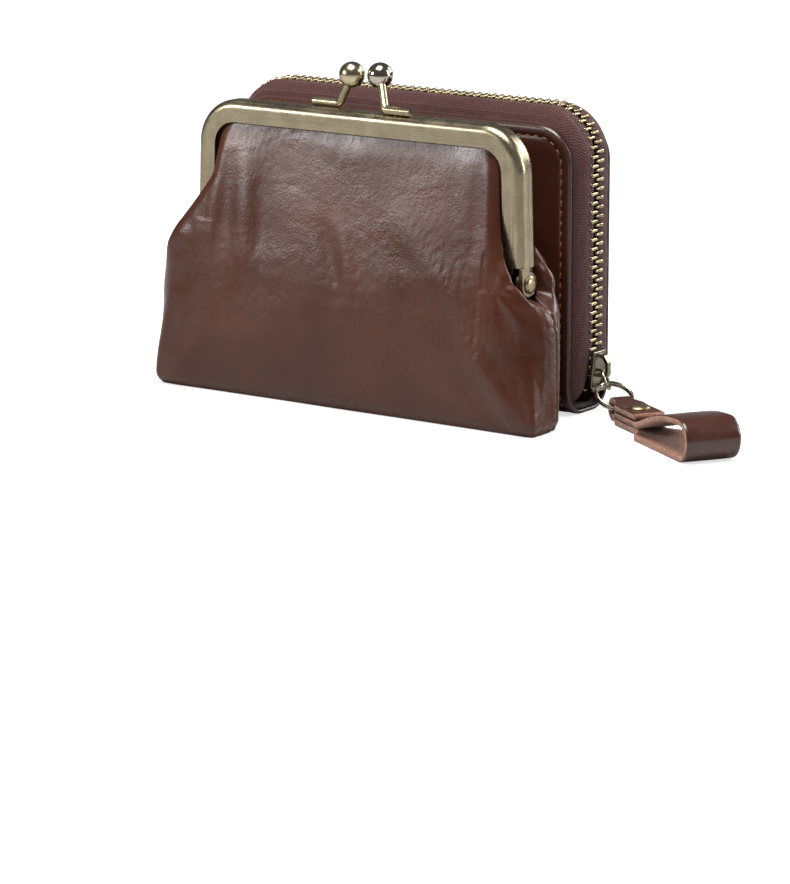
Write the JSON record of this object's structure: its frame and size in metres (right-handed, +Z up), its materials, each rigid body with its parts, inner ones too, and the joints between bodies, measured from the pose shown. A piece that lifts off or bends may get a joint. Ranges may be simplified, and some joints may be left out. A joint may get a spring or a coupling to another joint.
{
  "type": "coin purse",
  "caption": "Leather zip-around wallet with a kiss-lock coin pouch on its front, a zip slider with two linked rings and a short riveted wrist strap.",
  "frame": {"origin": "middle of the spine's underside, where the purse stands on the table", "axes": "+X along the width towards the zip slider, -Y towards the coin pouch, +Z up"},
  "size_m": [0.1795, 0.0507, 0.0925],
  "materials": {
    "cover_leather": "satin",
    "pouch_leather": "glossy",
    "strap_leather": "glossy",
    "pocket_leather": "matt",
    "board": "matt",
    "lining_cloth": "matt",
    "zip_tape": "matt",
    "zip_metal": "satin",
    "frame_brass": "brushed",
    "rivet_brass": "satin",
    "ball_brass": "polished",
    "ball_nickel": "polished",
    "slider_metal": "satin",
    "ring_metal": "polished",
    "paper_cord": "matt"
  },
  "bodies": {
    "front_half": {"front_cover": "cover_leather", "front_stiffener": "board", "front_lining": "lining_cloth", "front_pocket": "pocket_leather", "zipper_tape_front": "zip_tape", "zipper_teeth_front": "zip_metal", "zipper_stops_front": "zip_metal", "rear_fold": "cover_leather", "pouch_front_panel": "pouch_leather", "pouch_back_panel": "pouch_leather", "pouch_lining_front": "lining_cloth", "pouch_lining_back": "lining_cloth", "frame_back": "frame_brass", "paper_cord_back": "paper_cord", "frame_rivets": "rivet_brass", "clasp_post_left": "frame_brass", "clasp_ball_left": "ball_brass"},
    "back_half": {"back_cover": "cover_leather", "back_stiffener": "board", "back_lining": "lining_cloth", "card_pocket_1": "pocket_leather", "card_pocket_2": "pocket_leather", "card_pocket_3": "pocket_leather", "zipper_tape_back": "zip_tape", "zipper_teeth_back": "zip_metal", "zipper_stops_back": "zip_metal"},
    "kiss_half": {"frame_front": "frame_brass", "paper_cord_front": "paper_cord", "clasp_post_right": "frame_brass", "clasp_ball_right": "ball_nickel"},
    "slider": {"slider_body": "slider_metal"},
    "small_ring": {"jump_ring": "ring_metal"},
    "key_ring": {"split_ring": "ring_metal"},
    "strap": {"wrist_strap": "strap_leather", "strap_rivet_cap": "rivet_brass", "strap_rivet_post": "rivet_brass"}
  },
  "joints": [
    {"name": "cover_fold", "type": "hinge", "parent": "front_half", "child": "back_half", "pos_m": [0, 0.0085, 0.0015], "axis": [-1, 0, 0], "range_deg": [0, 90], "deforming": ["rear_fold"]},
    {"name": "kiss_lock", "type": "hinge", "parent": "front_half", "child": "kiss_half", "pos_m": [0, -0.027, 0.0384], "axis": [1, 0, 0], "range_deg": [0, 60], "deforming": ["pouch_front_panel", "pouch_lining_front"]},
    {"name": "slider_travel", "type": "slide", "parent": "front_half", "child": "slider", "axis": [0, 0, 1], "range_m": [0, 0.048], "deforming": ["zipper_teeth_front", "zipper_teeth_back"]},
    {"name": "small_ring_swing", "type": "hinge", "parent": "slider", "child": "small_ring", "pos_m": [0.0594, 0, 0.0118], "axis": [0, -1, 0], "range_deg": [0, 30]},
    {"name": "key_ring_swing", "type": "hinge", "parent": "small_ring", "child": "key_ring", "pos_m": [0.0606, 0.00056, 0.00826], "axis": [-0.5426, -0.84, 0], "range_deg": [-15, 20]},
    {"name": "strap_swing", "type": "hinge", "parent": "key_ring", "child": "strap", "pos_m": [0.06785, -0.00412, 0.0032], "axis": [-0.5426, -0.84, 0], "range_deg": [-40, 25]}
  ]
}
